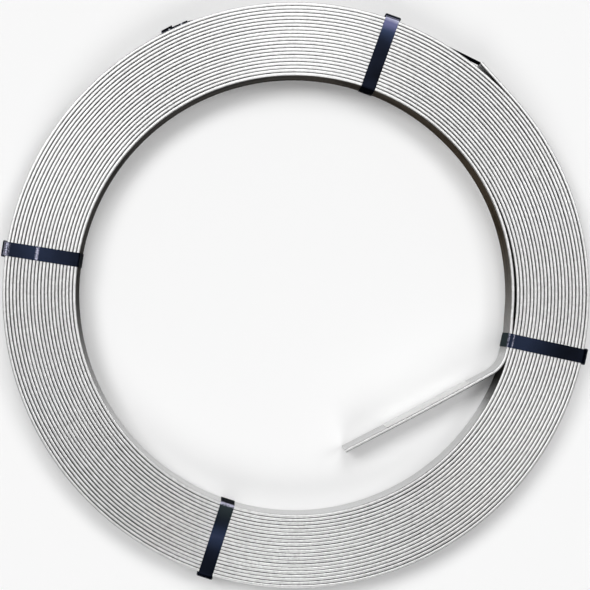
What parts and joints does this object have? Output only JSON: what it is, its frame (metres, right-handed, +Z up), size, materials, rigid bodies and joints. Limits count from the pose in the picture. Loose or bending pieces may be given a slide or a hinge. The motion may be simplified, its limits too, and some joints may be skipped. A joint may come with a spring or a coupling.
{
  "type": "steel coil",
  "caption": "Coil of galvanised flat steel strip, wound as a spiral round an open eye and tied with steel straps, its inner end bent into the eye.",
  "frame": {"origin": "on the floor, below the centre of the eye", "axes": "+Z up along the coil's axis, +X towards the strap beside the inner end"},
  "size_m": [0.5265, 0.5242, 0.0314],
  "materials": {
    "zinc_strip": "hot-dip galvanised, satin",
    "strapping": "blue-black lacquer",
    "seal": "blue-black lacquer, crimped",
    "label": "matt white"
  },
  "bodies": {
    "root": {"steel_strip": "zinc_strip", "strap_top": "strapping", "strap_left": "strapping", "strap_bottom": "strapping", "strap_right": "strapping", "seal_top": "seal", "seal_left": "seal", "seal_bottom": "seal", "seal_right": "seal", "rim_strap": "strapping", "rim_seal": "seal", "label": "label"}
  },
  "joints": []
}
